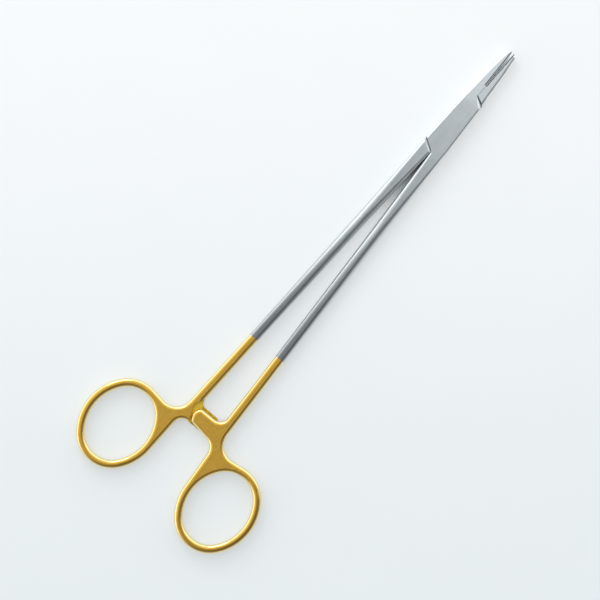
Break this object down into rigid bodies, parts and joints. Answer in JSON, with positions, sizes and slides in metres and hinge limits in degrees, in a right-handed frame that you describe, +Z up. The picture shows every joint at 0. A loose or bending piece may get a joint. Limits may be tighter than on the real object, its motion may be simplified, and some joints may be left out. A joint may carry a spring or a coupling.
{
  "type": "surgical needle holder",
  "caption": "Long slender surgical needle holder with a box lock, finger rings, ratchet arms and serrated carbide jaw inserts, closed and lying flat.",
  "frame": {"origin": "on the box lock's pivot axis, at the flat underside of the box that the instrument rests on", "axes": "+X along the instrument to the jaw tips, +Y towards the tongue half's shank and ring, +Z up out of the face with the upper ratchet arm"},
  "size_m": [0.2, 0.0716, 0.0048],
  "materials": {
    "steel": "satin stainless steel, gold plated from the rings to the first quarter of the shanks",
    "pin_steel": "satin stainless steel, ground flush",
    "carbide": "dull serrated tungsten carbide"
  },
  "bodies": {
    "female": {"female_half": "steel", "box_lock_pin": "pin_steel", "female_jaw_insert": "carbide"},
    "male": {"male_half": "steel", "male_jaw_insert": "carbide"}
  },
  "joints": [
    {"name": "box_lock", "type": "hinge", "parent": "female", "child": "male", "pos_m": [0, 0, 0.0024], "axis": [0, 0, -1], "range_deg": [0, 28]}
  ]
}
